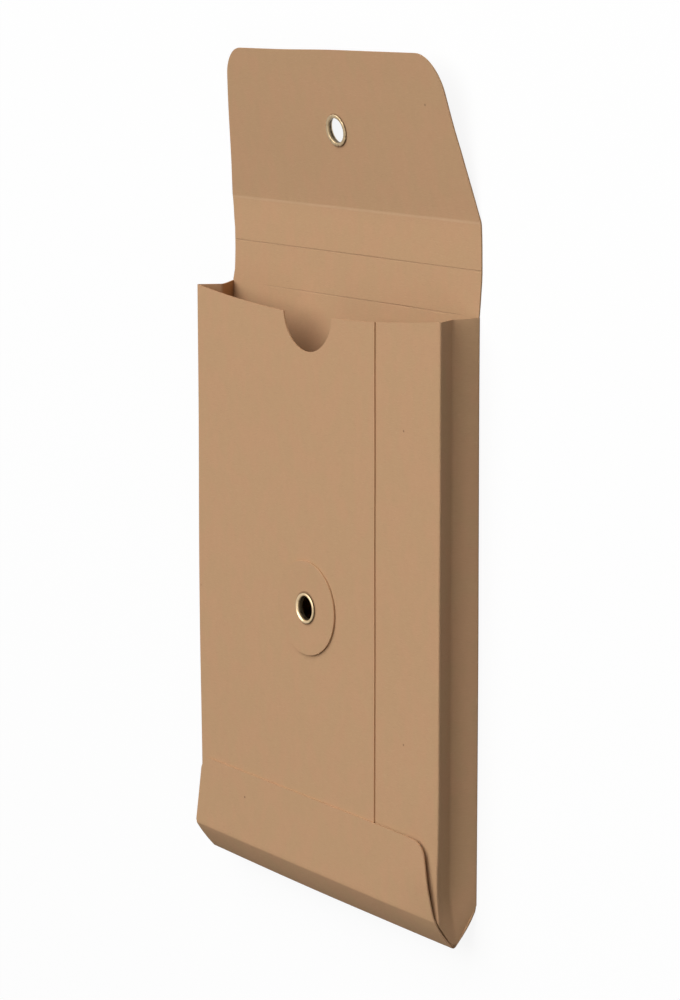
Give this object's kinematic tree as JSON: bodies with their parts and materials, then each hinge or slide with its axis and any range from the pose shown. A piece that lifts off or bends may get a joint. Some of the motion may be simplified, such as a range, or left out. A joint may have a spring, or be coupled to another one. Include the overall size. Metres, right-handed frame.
{
  "type": "paper envelope",
  "caption": "Open kraft board envelope with side gussets, a pointed bottom, a thumb notch, a scored flap and card washers with brass eyelets.",
  "frame": {"origin": "middle of the back panel's outer face", "axes": "+X to the right across the pocket, +Y from the bottom towards the flap, +Z out of the front"},
  "size_m": [0.1168, 0.2383, 0.0143],
  "materials": {
    "kraft_board": "matte uncoated kraft board, about 0.4 mm thick",
    "kraft_card": "matte kraft card",
    "eyelet_brass": "polished pale brass"
  },
  "bodies": {
    "root": {"envelope": "kraft_board", "front_washer": "kraft_card", "front_eyelet": "eyelet_brass", "flap_washer": "kraft_card", "flap_eyelet": "eyelet_brass"}
  },
  "joints": []
}
